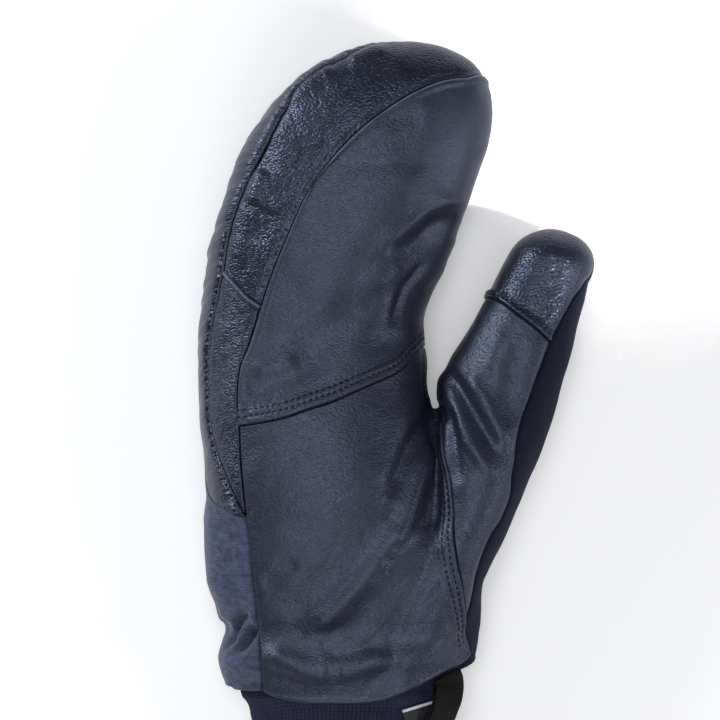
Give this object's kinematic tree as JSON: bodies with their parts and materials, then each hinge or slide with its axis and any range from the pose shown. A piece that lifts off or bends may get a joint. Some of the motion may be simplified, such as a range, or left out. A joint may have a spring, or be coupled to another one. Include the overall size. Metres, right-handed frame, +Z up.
{
  "type": "leather mitten",
  "caption": "Right-hand winter mitten of dark leather with a softshell back, ribbed knit cuff and pull loop, lying palm up.",
  "frame": {"origin": "on the resting face of the back, under the middle of the palm, 100 mm above the wrist seam", "axes": "+Y from the wrist to the fingertips, +X to the thumb, +Z up out of the palm"},
  "size_m": [0.1532, 0.2979, 0.0579],
  "materials": {
    "palm_leather": "satin",
    "pebbled_leather": "satin",
    "side_leather": "satin",
    "strip_leather": "satin",
    "softshell": "matte",
    "brushed_fabric": "matte",
    "rib_knit": "matte",
    "webbing": "matte",
    "label_cloth": "satin"
  },
  "bodies": {
    "root": {"palm_upper": "palm_leather", "palm_lower": "palm_leather", "fingertip_panel": "pebbled_leather", "side_panel": "side_leather", "edge_strip": "strip_leather", "back_panel": "softshell", "thumb_front": "palm_leather", "thumb_tip": "pebbled_leather", "thumb_back": "brushed_fabric", "cuff": "rib_knit", "pull_loop": "webbing", "label": "label_cloth"}
  },
  "joints": []
}
